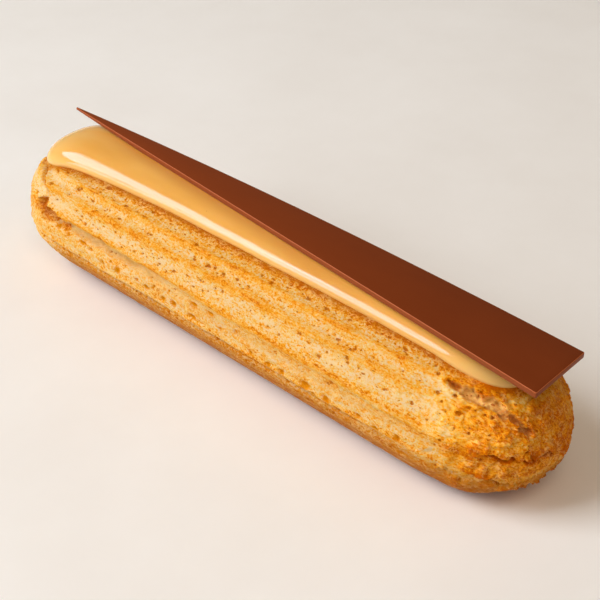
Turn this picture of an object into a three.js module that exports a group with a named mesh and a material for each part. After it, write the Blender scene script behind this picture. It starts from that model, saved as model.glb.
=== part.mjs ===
// An eclair: a baked choux bar, poured caramel icing and a tapered plate of milk chocolate on top.
// Millimetres, +Z up. +X runs along the bar to the end under the wide side of the plate,
// -Y is the front, and the flat base lies at z = 0.
import * as THREE from "three";
import { mergeVertices } from "three/addons/utils/BufferGeometryUtils.js";

const { clamp, lerp, smoothstep, radToDeg } = THREE.MathUtils;

// Choux bar: a straight middle with two rounded ends, its curves given as superellipse exponents
const LENGTH = 145;
const HALF_WIDTH = 16.4;
const WAIST = 13.8; // height of the widest level
const CROWN = 29.5; // height of the bare pastry's top
const LEFT_END = 20.9; // length of each rounded end
const RIGHT_END = 27.4;
const TOP_FULLNESS = 2.32;
const LEFT_FULLNESS = 2.4; // below the waist, at each end
const RIGHT_FULLNESS = 2.6;
const FULLNESS_BLEND = 0.5; // how far below the waist, as a sine, the lower curve is reached
const BASE_CUT = 1.1; // depth of the lower curve over the waist's height; what passes the base is cut flat

// Ridges and seams along both sides: latitude on the bar in degrees, height, and spread in degrees
const BANDS = [
  { at: 48, rise: 0.35, spread: 4 },
  { at: 37, rise: 0.45, spread: 4 },
  { at: 24, rise: 0.75, spread: 5 },
  { at: 12.5, rise: -1.6, spread: 4.2 },
  { at: 0, rise: 0.5, spread: 6 },
  { at: -10, rise: -0.7, spread: 2.8 },
  { at: -18, rise: 0.3, spread: 4.5 },
];
const BAND_DRIFT = 1.2; // degrees that a band wanders
const DRIFT_LENGTH = 11;
const BAND_SWELL = 0.25; // share by which its height comes and goes
const SWELL_LENGTH = 7;
const BANDS_AT_TIPS = 0.25; // share of the height that is left at the tips
const PHASE_STEP = 2; // between neighbouring bands, and between front and back

// Tears and folds in the crust: points along each, depth, and half width
const TEARS = [
  {
    name: "split beside the icing, right end",
    route: [[51.9, -10.1, 26.8], [57, -10.8, 25.3], [61.2, -8.9, 25.2], [65.5, -8.3, 23], [70.5, -5.9, 18.7]],
    depth: 1.8,
    reach: 2,
  },
  {
    name: "tear round the right end",
    route: [[59, -14.6, 16.6], [64.8, -12.6, 16], [69.5, -8.7, 16], [72.1, -3.5, 15.1], [71.6, 4.6, 15.6]],
    depth: 1.1,
    reach: 1.4,
  },
  {
    name: "low seam, right end",
    route: [[62.9, -13.6, 9.2], [67.5, -10.7, 9.3], [70.3, -7.7, 9.8]],
    depth: 0.7,
    reach: 1.3,
  },
  {
    name: "split at the back, right end",
    route: [[55, 12.6, 24.8], [62, 11.4, 22.6], [67.4, 8, 20.6]],
    depth: 1.2,
    reach: 1.5,
  },
  {
    name: "fold at the left end",
    route: [[-61.6, -10.6, 25], [-59.3, -12.6, 24], [-57, -13.9, 22.8], [-58, -15, 20.8]],
    depth: 1.3,
    reach: 1.5,
  },
  {
    name: "hollow at the left end",
    route: [[-61, -14.4, 19.4], [-57, -15.5, 19.6], [-52, -16.2, 18.2], [-46, -16.4, 17.4]],
    depth: 1.6,
    reach: 1.7,
  },
  {
    name: "dip under the icing, left end",
    route: [[-64.4, -9, 24], [-66.8, -5, 24.2], [-67.6, 0, 24.2], [-66.8, 5, 24.2]],
    depth: 0.9,
    reach: 1.6,
  },
  {
    name: "fold at the back, left end",
    route: [[-62.6, 9.4, 25], [-61.4, 13, 21.8], [-63, 13.4, 17.4]],
    depth: 1,
    reach: 1.4,
  },
];
const TEAR_POINTS = 40; // points taken along a route

// Crags of the two ends
const CRAG_RISE = 0.5;
const CRAG_LENGTH = 1.7;

// Where relief fades: out of the middle into the ends, off the base, and under the icing's outline
const ENDS_BEGIN = 0.2;
const ENDS_FULL = 0.9;
const BASE_LATITUDE = -50;
const RELIEF_LATITUDE = -28;
const ICING_COVERS = 1.04;
const ICING_CLEAR = 1.25;

// Icing: a skin poured over the crown
const ICING_LEFT = -66.2;
const ICING_RIGHT = 64.6;
const ICING_LEFT_END = 8; // length over which each end rounds off, and how squarely
const ICING_RIGHT_END = 13;
const ICING_LEFT_SQUARENESS = 2.8;
const ICING_RIGHT_SQUARENESS = 2.37;
const ICING_HALF_WIDTH = 7.5; // at its narrowest
const ICING_NARROWEST = 22;
const ICING_LEFT_FLARE = 2.9; // added to the half width where each end begins
const ICING_RIGHT_FLARE = 0.6;
const ICING_THICKNESS = 1.7;
const LIP_SQUARENESS = 5;
const LIP_CROWDING = 0.6;

// Chocolate plate: a long tapered blade whose far edge bows out a little
const BLADE_TIP = { x: -67.3, y: 4.2 };
const BLADE_TIP_WIDTH = 0.4;
const BLADE_END = 71.7;
const BLADE_NEAR = -9.8;
const BLADE_FAR = 5.6;
const BLADE_BOW = { x: 2, y: 8.4 }; // control point of the far edge
const BLADE_THICKNESS = 1.3;
const BLADE_TIP_THICKNESS = 0.6;
const BLADE_TAPER_START = -42; // from here to the tip the plate thins out underneath
const BLADE_CHAMFER = 0.2;
const BLADE_CURVE_STEPS = 16;

const GAP = 0.3; // between touching pieces

// Faces around each skin, and rings along its right end, middle and left end
const CHOUX_MESH = { sides: 68, right: 26, middle: 30, left: 20 };
const CHOUX_CROWDING = 0.4; // how far the sides' faces are drawn together at the waist
const ICING_MESH = { sides: 36, right: 9, middle: 22, left: 9 };
const MERGE = 1e-4;

const LEFT_AXIS = -LENGTH / 2 + LEFT_END; // where the straight middle meets each end
const RIGHT_AXIS = LENGTH / 2 - RIGHT_END;
const ICING_LEFT_AXIS = ICING_LEFT + ICING_LEFT_END;
const ICING_RIGHT_AXIS = ICING_RIGHT - ICING_RIGHT_END;

const signedPower = (value, power) => Math.sign(value) * Math.abs(value) ** power;

// A closed skin of rings along X. place gives the point for a run along the middle, 0 at the left
// to 1 at the right, a lean out of the section towards an end, and a turn around the section.
function ringedSkin(mesh, place) {
  const rings = mesh.right + mesh.middle + mesh.left;
  const skin = new THREE.SphereGeometry(1, mesh.sides, rings);
  const position = skin.attributes.position;
  const quarter = Math.PI / 2;
  for (let i = 0; i < position.count; i += 1) {
    const row = Math.floor(i / (mesh.sides + 1));
    const turn = ((i % (mesh.sides + 1)) / mesh.sides) * 2 * Math.PI;
    const pastRight = row - mesh.right;
    const pastMiddle = pastRight - mesh.middle;
    const run = 1 - clamp(pastRight / mesh.middle, 0, 1);
    const toRight = Math.max(0, -pastRight / mesh.right) * quarter;
    const toLeft = Math.max(0, pastMiddle / mesh.left) * quarter;
    const point = place(run, toRight - toLeft, turn);
    position.setXYZ(i, point.x, point.y, point.z);
  }
  skin.deleteAttribute("normal");
  skin.deleteAttribute("uv");
  const closed = mergeVertices(skin, MERGE);
  closed.computeVertexNormals();
  return closed;
}

// The bar without relief: its point and outward normal in a direction from the axis
function barSurface(run, direction) {
  const lower = lerp(LEFT_FULLNESS, RIGHT_FULLNESS, run);
  const fullness = lerp(TOP_FULLNESS, lower, smoothstep(-direction.z, 0, FULLNESS_BLEND));
  const size = new THREE.Vector3(
    direction.x < 0 ? LEFT_END : RIGHT_END,
    HALF_WIDTH,
    direction.z > 0 ? CROWN - WAIST : WAIST * BASE_CUT,
  );
  const sum = direction.toArray().reduce((total, part) => total + Math.abs(part) ** fullness, 0);
  const unit = direction.clone().multiplyScalar(sum ** (-1 / fullness));
  const axis = new THREE.Vector3(lerp(LEFT_AXIS, RIGHT_AXIS, run), 0, WAIST);
  const slope = unit.toArray().map((part) => signedPower(part, fullness - 1));
  return {
    point: unit.clone().multiply(size).add(axis),
    normal: new THREE.Vector3(...slope).divide(size).normalize(),
  };
}

// The bar's crown above a place in plan: its point and outward normal
function crownSurface(x, y) {
  const over = Math.max(0, x - RIGHT_AXIS) / RIGHT_END + Math.min(0, x - LEFT_AXIS) / LEFT_END;
  const across = y / HALF_WIDTH;
  const left = 1 - Math.abs(over) ** TOP_FULLNESS - Math.abs(across) ** TOP_FULLNESS;
  const up = left ** (1 / TOP_FULLNESS);
  const slope = [over, across, up].map((part) => signedPower(part, TOP_FULLNESS - 1));
  const size = new THREE.Vector3(over < 0 ? LEFT_END : RIGHT_END, HALF_WIDTH, CROWN - WAIST);
  return {
    point: new THREE.Vector3(x, y, WAIST + (CROWN - WAIST) * up),
    normal: new THREE.Vector3(...slope).divide(size).normalize(),
  };
}

// Half width of the icing before its ends round off
function icingHalfWidth(x) {
  const leftSpan = ICING_NARROWEST - ICING_LEFT_AXIS;
  const rightSpan = ICING_RIGHT_AXIS - ICING_NARROWEST;
  const toLeft = Math.max(0, ICING_NARROWEST - x) / leftSpan;
  const toRight = Math.max(0, x - ICING_NARROWEST) / rightSpan;
  return ICING_HALF_WIDTH + ICING_LEFT_FLARE * Math.min(1, toLeft) ** 3
    + ICING_RIGHT_FLARE * Math.min(1, toRight) ** 2;
}

// How far out a place in plan is from the icing's middle: 1 on its outline
function icingReach(x, y) {
  const toRight = Math.max(0, x - ICING_RIGHT_AXIS) / ICING_RIGHT_END;
  const toLeft = Math.max(0, ICING_LEFT_AXIS - x) / ICING_LEFT_END;
  const squareness = x < 0 ? ICING_LEFT_SQUARENESS : ICING_RIGHT_SQUARENESS;
  const across = Math.abs(y) / icingHalfWidth(x);
  return ((toRight + toLeft) ** squareness + across ** squareness) ** (1 / squareness);
}

// Piped ridges and the seams between them, wandering a little along the bar
function bandRelief(latitude, x, side) {
  return BANDS.reduce((total, band, number) => {
    const drift = BAND_DRIFT * Math.sin(x / DRIFT_LENGTH + PHASE_STEP * (number + side));
    const swell = 1 + BAND_SWELL * Math.sin(x / SWELL_LENGTH + PHASE_STEP * (number - side));
    const away = (latitude - band.at - drift) / band.spread;
    return total + band.rise * swell * Math.exp(-away * away);
  }, 0);
}

const tearPoints = TEARS.map((tear) => {
  const route = new THREE.CatmullRomCurve3(tear.route.map((place) => new THREE.Vector3(...place)));
  return route.getPoints(TEAR_POINTS);
});

function tearRelief(point) {
  const cuts = TEARS.map((tear, number) => {
    const nearest = Math.min(...tearPoints[number].map((place) => place.distanceTo(point)));
    return tear.depth * Math.exp(-((nearest / tear.reach) ** 2));
  });
  return -Math.max(...cuts);
}

function cragRelief(point) {
  const { x, y, z } = point.clone().divideScalar(CRAG_LENGTH);
  return CRAG_RISE * Math.sin(x + Math.sin(z)) * Math.sin(y + Math.sin(x)) * Math.sin(z + Math.sin(y));
}

function chouxGeometry() {
  return ringedSkin(CHOUX_MESH, (run, lean, turn) => {
    const around = turn - (CHOUX_CROWDING / 2) * Math.sin(2 * turn);
    const ring = Math.cos(lean);
    const direction = new THREE.Vector3(Math.sin(lean), ring * Math.cos(around), ring * Math.sin(around));
    const { point, normal } = barSurface(run, direction);
    const latitude = radToDeg(Math.asin(direction.z));
    const endness = smoothstep(Math.abs(direction.x), ENDS_BEGIN, ENDS_FULL);
    const side = direction.y / Math.hypot(direction.x, direction.y);
    const bands = bandRelief(latitude, point.x, side) * lerp(1, BANDS_AT_TIPS, endness);
    const crags = cragRelief(point) * endness;
    const bare = smoothstep(icingReach(point.x, point.y), ICING_COVERS, ICING_CLEAR);
    const clearOfIcing = latitude > 0 ? bare : 1;
    const clearOfBase = smoothstep(latitude, BASE_LATITUDE, RELIEF_LATITUDE);
    const relief = (bands + crags + tearRelief(point)) * clearOfIcing * clearOfBase;
    point.addScaledVector(normal, relief);
    point.z = Math.max(0, point.z);
    return point;
  });
}

function icingGeometry() {
  return ringedSkin(ICING_MESH, (run, lean, turn) => {
    const toEnd = Math.sin(lean);
    const end = toEnd < 0 ? ICING_LEFT_END : ICING_RIGHT_END;
    const squareness = toEnd < 0 ? ICING_LEFT_SQUARENESS : ICING_RIGHT_SQUARENESS;
    const x = lerp(ICING_LEFT_AXIS, ICING_RIGHT_AXIS, run) + end * toEnd;
    const halfWidth = icingHalfWidth(x) * (1 - Math.abs(toEnd) ** squareness) ** (1 / squareness);
    const onTop = Math.sin(turn) > 0;
    const across = onTop ? signedPower(Math.cos(turn), LIP_CROWDING) : Math.cos(turn);
    const { point, normal } = crownSurface(x, across * halfWidth);
    const reach = Math.min(1, icingReach(x, across * halfWidth));
    const rise = onTop ? ICING_THICKNESS * Math.sqrt(1 - reach ** LIP_SQUARENESS) : 0;
    return point.addScaledVector(normal, GAP + rise);
  });
}

function bladeGeometry() {
  const outline = new THREE.Shape();
  const tipNear = BLADE_TIP.y - BLADE_TIP_WIDTH / 2;
  const taperShare = (BLADE_TAPER_START - BLADE_TIP.x) / (BLADE_END - BLADE_TIP.x);
  outline.moveTo(BLADE_TIP.x, tipNear);
  outline.lineTo(BLADE_TAPER_START, lerp(tipNear, BLADE_NEAR, taperShare));
  outline.lineTo(BLADE_END, BLADE_NEAR);
  outline.lineTo(BLADE_END, BLADE_FAR);
  outline.quadraticCurveTo(BLADE_BOW.x, BLADE_BOW.y, BLADE_TIP.x, BLADE_TIP.y + BLADE_TIP_WIDTH / 2);
  const plate = new THREE.ExtrudeGeometry(outline, {
    depth: BLADE_THICKNESS - 2 * BLADE_CHAMFER,
    curveSegments: BLADE_CURVE_STEPS,
    bevelThickness: BLADE_CHAMFER,
    bevelSize: BLADE_CHAMFER,
    bevelOffset: -BLADE_CHAMFER,
    bevelSegments: 1,
  });
  plate.translate(0, 0, BLADE_CHAMFER - BLADE_THICKNESS);
  const position = plate.attributes.position;
  for (let i = 0; i < position.count; i += 1) {
    const toTip = clamp((BLADE_TAPER_START - position.getX(i)) / (BLADE_TAPER_START - BLADE_TIP.x), 0, 1);
    const thickness = lerp(BLADE_THICKNESS, BLADE_TIP_THICKNESS, toTip);
    position.setZ(i, (position.getZ(i) * thickness) / BLADE_THICKNESS);
  }
  plate.translate(0, 0, CROWN + GAP + ICING_THICKNESS + GAP + BLADE_THICKNESS);
  plate.computeVertexNormals();
  return plate;
}

function piece(name, geometry, color, roughness) {
  const mesh = new THREE.Mesh(geometry, new THREE.MeshStandardMaterial({ color, roughness, metalness: 0 }));
  mesh.name = name;
  return mesh;
}

const eclair = new THREE.Group();
eclair.add(piece("choux", chouxGeometry(), 0xe9a84c, 0.75));
eclair.add(piece("glaze", icingGeometry(), 0xedae55, 0.2));
eclair.add(piece("blade", bladeGeometry(), 0x76391e, 0.4));

// The origin lies under the middle of the whole eclair
const reach = new THREE.Box3().setFromObject(eclair, true);
const middle = reach.getCenter(new THREE.Vector3());
eclair.position.set(-middle.x, -middle.y, -reach.min.z);

export default eclair;
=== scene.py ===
import math
import random

import bpy
import numpy as np
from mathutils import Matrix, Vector, kdtree, noise


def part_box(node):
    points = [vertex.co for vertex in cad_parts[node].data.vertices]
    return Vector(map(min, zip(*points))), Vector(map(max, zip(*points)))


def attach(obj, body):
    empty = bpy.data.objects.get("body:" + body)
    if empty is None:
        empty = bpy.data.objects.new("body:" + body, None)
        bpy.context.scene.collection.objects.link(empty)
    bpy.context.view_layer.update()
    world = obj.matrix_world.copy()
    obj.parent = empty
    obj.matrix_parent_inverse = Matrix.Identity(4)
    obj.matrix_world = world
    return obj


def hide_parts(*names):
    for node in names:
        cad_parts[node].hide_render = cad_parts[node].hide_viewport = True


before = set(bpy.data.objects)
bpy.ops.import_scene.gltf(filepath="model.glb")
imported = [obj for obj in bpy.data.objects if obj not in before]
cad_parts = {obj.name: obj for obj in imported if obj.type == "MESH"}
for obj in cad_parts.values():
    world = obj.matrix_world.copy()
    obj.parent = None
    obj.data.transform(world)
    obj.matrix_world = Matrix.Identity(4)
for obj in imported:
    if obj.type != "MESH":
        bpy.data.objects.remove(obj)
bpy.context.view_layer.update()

# Choux bar
# The eclair's body: choux paste piped as one fluted bar and baked on a flat tray.
# Its dry crust is gold on the ridges, pale and porous between them, and torn open at both ends.
MM = 0.001  # shapes are worked out in millimetres and scaled to metres as they are laid on the mesh

BAR_LENGTH = 145
BAR_HALF_WIDTH = 16.4
WAIST = 13.8
CROWN = 29.5
LEFT_END = 20.9
RIGHT_END = 27.4
TOP_FULLNESS = 2.32
LEFT_FULLNESS = 2.4
RIGHT_FULLNESS = 2.6
FULLNESS_BLEND = 0.5
BASE_CUT = 1.1
LEFT_AXIS = -BAR_LENGTH / 2 + LEFT_END
RIGHT_AXIS = BAR_LENGTH / 2 - RIGHT_END
BLADE_END = 71.7
CENTRING = np.array([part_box("blade")[1].x / MM - BLADE_END, 0, 0])  # the frame's origin is under the middle

ICING_LEFT = -66.2
ICING_RIGHT = 64.6
ICING_LEFT_END = 8
ICING_RIGHT_END = 13
ICING_LEFT_SQUARENESS = 2.8
ICING_RIGHT_SQUARENESS = 2.37
ICING_HALF_WIDTH = 7.5
ICING_NARROWEST = 22
ICING_LEFT_FLARE = 2.3
ICING_RIGHT_FLARE = 0.6
ICING_LEFT_AXIS = ICING_LEFT + ICING_LEFT_END
ICING_RIGHT_AXIS = ICING_RIGHT - ICING_RIGHT_END

CRUST_AROUND = 204  # faces around the bar, and along its right end, middle and left end
CRUST_RIGHT = 140
CRUST_MIDDLE = 252
CRUST_LEFT = 80
CRUST_ALONG = CRUST_RIGHT + CRUST_MIDDLE + CRUST_LEFT
FRONT_FACES = 1.15  # how closely the faces stand on each stretch of the section
BACK_FACES = 0.5
COVERED_FACES = 0.22
COVERED_LATITUDE = 68  # degrees, above which the icing hides the crust
UNDER_LATITUDE = -36  # degrees, below which the base is hidden
SECTION_STEPS = 2000


def smoothstep(value, low, high):
    share = np.clip((value - low) / (high - low), 0, 1)
    return share * share * (3 - 2 * share)


def lerp(start, end, share):
    return start + (end - start) * share


def bump_at(value, centre, spread):
    return np.exp(-(((value - centre) / spread) ** 2))


def window(value, start, full, fade, end):
    """Rises from 0 to 1 between the first two limits and falls back between the last two."""
    return smoothstep(value, start, full) * (1 - smoothstep(value, fade, end))


def linear(red, green, blue):
    """A display colour in 0-255 as the linear colour that a shader socket takes."""
    return tuple(c / 12.92 if c < 0.04045 else ((c + 0.055) / 1.055) ** 2.4
                 for c in (red / 255, green / 255, blue / 255)) + (1,)


def ball(name, around, along):
    """A sphere, with the number of each vertex's ring from the right tip and of its column around X."""
    bpy.ops.object.select_all(action="DESELECT")
    bpy.ops.mesh.primitive_uv_sphere_add(segments=around, ring_count=along, radius=1)
    piece = bpy.context.object
    piece.name = piece.data.name = name
    places = np.empty(3 * len(piece.data.vertices))
    piece.data.vertices.foreach_get("co", places)
    x, y, z = places.reshape(-1, 3).T
    ring = np.rint(np.arctan2(np.hypot(x, y), z) / math.pi * along)
    column = np.rint(np.arctan2(y, x) / (2 * math.pi) * around) % around
    return piece, ring, column


def lay(piece, places):
    """Moves a piece's vertices to places given in millimetres."""
    piece.data.vertices.foreach_set("co", ((places + CENTRING) * MM).ravel())
    piece.data.update()


def along_bar(ring, right, middle, left):
    """For each ring, its run along the straight middle and its lean into an end, in radians."""
    run = 1 - np.clip((ring - right) / middle, 0, 1)
    to_right = np.clip(1 - ring / right, 0, 1)
    to_left = np.clip((ring - right - middle) / left, 0, 1)
    return run, (to_right - to_left) * math.pi / 2


def bar_surface(run, direction):
    """The bar without relief: points and outward normals in directions from its axis."""
    lower = lerp(LEFT_FULLNESS, RIGHT_FULLNESS, run)
    fullness = lerp(TOP_FULLNESS, lower, smoothstep(-direction[:, 2], 0, FULLNESS_BLEND))[:, None]
    size = np.stack([
        np.where(direction[:, 0] < 0, LEFT_END, RIGHT_END),
        np.full(len(direction), BAR_HALF_WIDTH),
        np.where(direction[:, 2] > 0, CROWN - WAIST, WAIST * BASE_CUT),
    ], axis=1)
    unit = direction * (np.abs(direction) ** fullness).sum(1, keepdims=True) ** (-1 / fullness)
    normal = np.sign(unit) * np.abs(unit) ** (fullness - 1) / size
    axis = np.stack([lerp(LEFT_AXIS, RIGHT_AXIS, run), np.zeros(len(run)), np.full(len(run), WAIST)], axis=1)
    return unit * size + axis, normal / np.linalg.norm(normal, axis=1, keepdims=True)


def icing_half_width(x):
    to_left = np.clip((ICING_NARROWEST - x) / (ICING_NARROWEST - ICING_LEFT_AXIS), 0, 1)
    to_right = np.clip((x - ICING_NARROWEST) / (ICING_RIGHT_AXIS - ICING_NARROWEST), 0, 1)
    return ICING_HALF_WIDTH + ICING_LEFT_FLARE * to_left**5 + ICING_RIGHT_FLARE * to_right**2


def icing_reach(x, y):
    """How far out a place in plan is from the icing's middle: 1 on its outline."""
    past = np.maximum(0, x - ICING_RIGHT_AXIS) / ICING_RIGHT_END
    past = past + np.maximum(0, ICING_LEFT_AXIS - x) / ICING_LEFT_END
    squareness = np.where(x < 0, ICING_LEFT_SQUARENESS, ICING_RIGHT_SQUARENESS)
    across = np.abs(y) / icing_half_width(x)
    return (past**squareness + across**squareness) ** (1 / squareness)


def grain(places, size, seed, octaves=1):
    """Smooth noise from about -1 to 1, its patches of a size in millimetres along x, y and z."""
    spots = (places / np.array(size) + seed * 17.3).tolist()
    if octaves == 1:
        return np.array([noise.noise(spot) for spot in spots])
    return np.array([noise.fractal(spot, 0.9, 2.1, octaves) for spot in spots])


def evenly_around(count):
    """Turns around the bar's section, closest together on the bare sides and widest on the base."""
    turn = np.linspace(0, 2 * math.pi, SECTION_STEPS + 1)
    direction = np.stack([np.zeros_like(turn), np.cos(turn), np.sin(turn)], axis=1)
    section, _ = bar_surface(np.full(len(turn), 0.5), direction)
    section[:, 2] = np.maximum(section[:, 2], 0)
    step = np.linalg.norm(np.diff(section, axis=0), axis=1)
    latitude = np.degrees(np.arcsin(np.clip(direction[:-1, 2], -1, 1)))
    side = np.where(direction[:-1, 1] < 0, FRONT_FACES, BACK_FACES)
    weight = np.where(latitude > COVERED_LATITUDE, COVERED_FACES, side)
    weight = np.where(latitude < UNDER_LATITUDE, COVERED_FACES, weight)
    length = np.concatenate([[0], np.cumsum(step * weight)])
    return np.interp(np.arange(count) / count, length / length[-1], turn)


choux, ring, column = ball("choux_crust", CRUST_AROUND, CRUST_ALONG)
run, lean = along_bar(ring, CRUST_RIGHT, CRUST_MIDDLE, CRUST_LEFT)
around = evenly_around(CRUST_AROUND)[column.astype(int)]
direction = np.stack([np.sin(lean), np.cos(lean) * np.cos(around), np.cos(lean) * np.sin(around)], axis=1)
skin, outward = bar_surface(run, direction)
uphill = np.array([0, 0, 1]) - outward * outward[:, 2:]
uphill = uphill / np.maximum(np.linalg.norm(uphill, axis=1, keepdims=True), 1e-6)

x, y, z = skin.T
latitude = np.degrees(np.arcsin(np.clip(direction[:, 2], -1, 1)))
end_share = smoothstep(np.abs(direction[:, 0]), 0.2, 0.9)
bare = np.where(latitude > 0, smoothstep(icing_reach(x, y), 0.97, 1.12), 1)
off_base = smoothstep(latitude, -50, -28)

# Where each piped ridge or seam lies: latitude in degrees, rise in millimetres, spread in degrees
RIDGES = [(49.5, 0.42, 2.6), (42.5, -0.26, 2.2), (36, 0.52, 3.2), (28, -0.12, 4), (0, 0.35, 5),
          (-7.5, 0.5, 3), (-17, 0.2, 4)]
CREASE_LATITUDE = -11.6
CREASE_RISE = -0.85
CREASE_SPREAD = 1.4
WANDER = 1.3  # degrees that the ridges stray along the bar
SMALL_WANDER = 0.5
CREASE_WANDER = 0.6  # share of that which the crease follows
SWELL = 0.5  # share by which a ridge's height changes along it
END_RIDGES = 0.3  # share of a ridge's height that is left at the ends

wander = WANDER * grain(skin, (15, 40, 40), 1) + SMALL_WANDER * grain(skin, (4, 30, 30), 2)
swell = 1 + SWELL * grain(skin, (9, 30, 30), 3)
relief = np.zeros(len(skin))
for at, rise, spread in RIDGES:
    relief += rise * swell * bump_at(latitude + wander, at, spread)
crease_line = bump_at(latitude + CREASE_WANDER * wander, CREASE_LATITUDE, CREASE_SPREAD)
crease_line = crease_line * (1 - smoothstep(x, 36, 50))
relief += CREASE_RISE * crease_line
relief *= lerp(1, END_RIDGES, end_share)

# The seam below the upper ridges: a crisp lip above it, and a floor that rises to the lower bulge.
# Pairs hold the value at the left end and the value from the middle on.
LIP_LATITUDE = 14.6
LIP_FALL = 0.085  # degrees for each millimetre along the bar
LIP_SAG = 2  # degrees
LIP_WAVE = 1.2
LIP_RAGGED = 1.1
LIP_RISE = (0.45, 0.2)  # millimetres
SEAM_DEPTH = (1.5, 0.38)
SEAM_UNEVEN = 0.3  # share of the depth
SEAM_WIDTH = (9.5, 12)  # degrees
SEAM_RAGGED = 1.2
lip = LIP_LATITUDE - LIP_FALL * x - LIP_SAG * bump_at(x, 8, 22)
lip = lip + LIP_WAVE * grain(skin, (9, 60, 60), 4) + LIP_RAGGED * grain(skin, (2.6, 40, 40), 5)
below_lip = lip - latitude
seam_length = window(x, -62, -52, 50, 60)
seam_depth = lerp(*SEAM_DEPTH, smoothstep(x, -48, -4)) * (1 + SEAM_UNEVEN * grain(skin, (8, 60, 60), 6))
seam_width = lerp(*SEAM_WIDTH, smoothstep(x, -40, 20)) + SEAM_RAGGED * grain(skin, (5, 60, 60), 7)
seam_floor = window(below_lip, -0.8, 2, 0.6 * seam_width, seam_width)
lip_crest = bump_at(below_lip, -3.4, 2.6)
relief += lerp(*LIP_RISE, smoothstep(x, -30, 0)) * lip_crest * seam_length
relief -= seam_depth * seam_length * seam_floor

# Tears and folds: route, depth, width above the route and below it, ragged edges, and the floor's share of
# pale crumb and of browner painted shade in the hollow
TEARS = [
    ([(63.7, -13.1, 16.2), (65.2, -12.3, 15.9), (66.2, -11.7, 16.1), (67.2, -11, 15.5), (68.6, -9.7, 15.8),
      (69.7, -8.6, 15.5), (70.9, -6.7, 15.2), (71.8, -4.9, 14.8), (72.1, -3.5, 15.1), (71.6, 4.6, 15.6)],
     0.9, 0.35, 1.2, 1.0, 0.0, 0.15),
    ([(62.1, -14, 11.1), (64.6, -12.8, 11.1), (65.8, -12.1, 10.4), (66.9, -11.3, 9.8), (68.8, -9.4, 8.9)],
     0.7, 0.3, 0.9, 0.8, 0.0, 0.15),
    ([(55, 12.6, 24.8), (62, 11.4, 22.6), (67.4, 8, 20.6)], 1.6, 0.6, 2, 1.1, 0.9, 0.3),
    ([(-62.4, -9.6, 25.2), (-61.2, -11.1, 24.9), (-59.7, -12.6, 23.9), (-58.1, -13.4, 23.5),
      (-56.9, -14, 22.9), (-56.8, -14.6, 21.6)], 1.9, 0.5, 0.9, 0.4, 0.0, 0.15),
    ([(-64.4, -9, 24), (-66.8, -5, 24.2), (-67.6, 0, 24.2), (-66.8, 5, 24.2)], 1.3, 0.5, 2.2, 0.4, 0.3, 0.05),
    ([(-62.6, 9.4, 25), (-61.4, 13, 21.8), (-63, 13.4, 17.4)], 1.1, 0.5, 1.5, 0.5, 0.1, 0.1),
]
TEAR_STEPS = 60
TEAR_TAPER = 0.15  # share of its length over which a tear closes at each end
TEAR_END_DEPTH = 0.2  # share of its depth that is left there
TEAR_FRAY = 0.6  # millimetres
TEAR_WALL = 0.15
TEAR_RIM = 0.45
TEAR_RIM_SPREAD = 0.5
TEAR_SEED = 30


def tear(route, depth, above, below, ragged, seed):
    """Depth of a tear at each place of the skin, and how close each place is to its overhanging edge."""
    route = np.array(route, float)
    length = np.concatenate([[0], np.cumsum(np.linalg.norm(np.diff(route, axis=0), axis=1))])
    at = np.linspace(0, length[-1], TEAR_STEPS)
    spine = np.stack([np.interp(at, length, route[:, axis]) for axis in range(3)], axis=1)
    heading = np.gradient(spine, axis=0)
    depths = np.zeros(len(skin))
    edges = np.zeros(len(skin))
    margin = above + below + 2
    near = np.nonzero(np.all((skin > spine.min(0) - margin) & (skin < spine.max(0) + margin), axis=1))[0]
    offset = skin[near, None, :] - spine[None, :, :]
    closest = np.argmin((offset**2).sum(2), axis=1)
    offset = offset[np.arange(len(near)), closest]
    across = np.cross(outward[near], heading[closest])
    across = across * np.sign(across[:, 2:] + 1e-9)
    across = across / np.linalg.norm(across, axis=1, keepdims=True)
    up = (offset * across).sum(1)
    past_ends = np.sqrt(np.maximum(0, (offset**2).sum(1) - up**2))
    share = closest / (TEAR_STEPS - 1)
    taper = lerp(TEAR_END_DEPTH, 1, window(share, 0, TEAR_TAPER, 1 - TEAR_TAPER, 1))
    taper = taper * (1 - smoothstep(past_ends, 0.4, 1.8))
    fray = grain(skin[near], (1.3, 1.3, 1.3), seed, 3) + grain(skin[near], (4, 4, 4), seed + 1)
    up = up + TEAR_FRAY * ragged * fray
    depths[near] = depth * taper * window(up, -below, -0.1 * below, above - TEAR_WALL, above + TEAR_WALL)
    edges[near] = taper * bump_at(up, above + TEAR_RIM, TEAR_RIM_SPREAD)
    return depths, edges
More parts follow.
